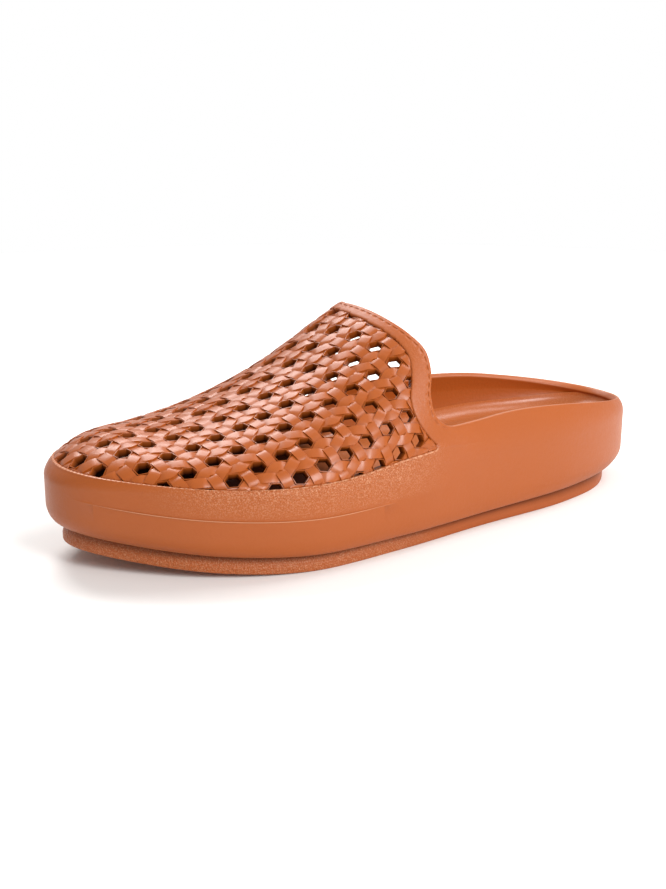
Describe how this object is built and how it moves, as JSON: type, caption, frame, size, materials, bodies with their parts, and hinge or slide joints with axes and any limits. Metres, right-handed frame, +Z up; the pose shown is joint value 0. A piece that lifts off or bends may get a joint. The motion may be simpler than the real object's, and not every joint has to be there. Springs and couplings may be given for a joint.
{
  "type": "slip-on mule",
  "caption": "Left slip-on mule moulded in one colour, with a pierced woven-look vamp, a smooth collar band, a thick rounded side wall and an open heel.",
  "frame": {"origin": "middle of the bounding box, at the level of the ground under the sole", "axes": "+Z up, toe towards -X, heel towards +X, outer side of the foot towards -Y"},
  "size_m": [0.2749, 0.1058, 0.0899],
  "materials": {
    "upper": "satin moulded foam, terracotta orange",
    "outsole": "matte moulded foam, terracotta orange",
    "insole": "satin moulded foam, terracotta orange"
  },
  "bodies": {
    "root": {"upper": "upper", "outsole": "outsole", "insole": "insole"}
  },
  "joints": []
}
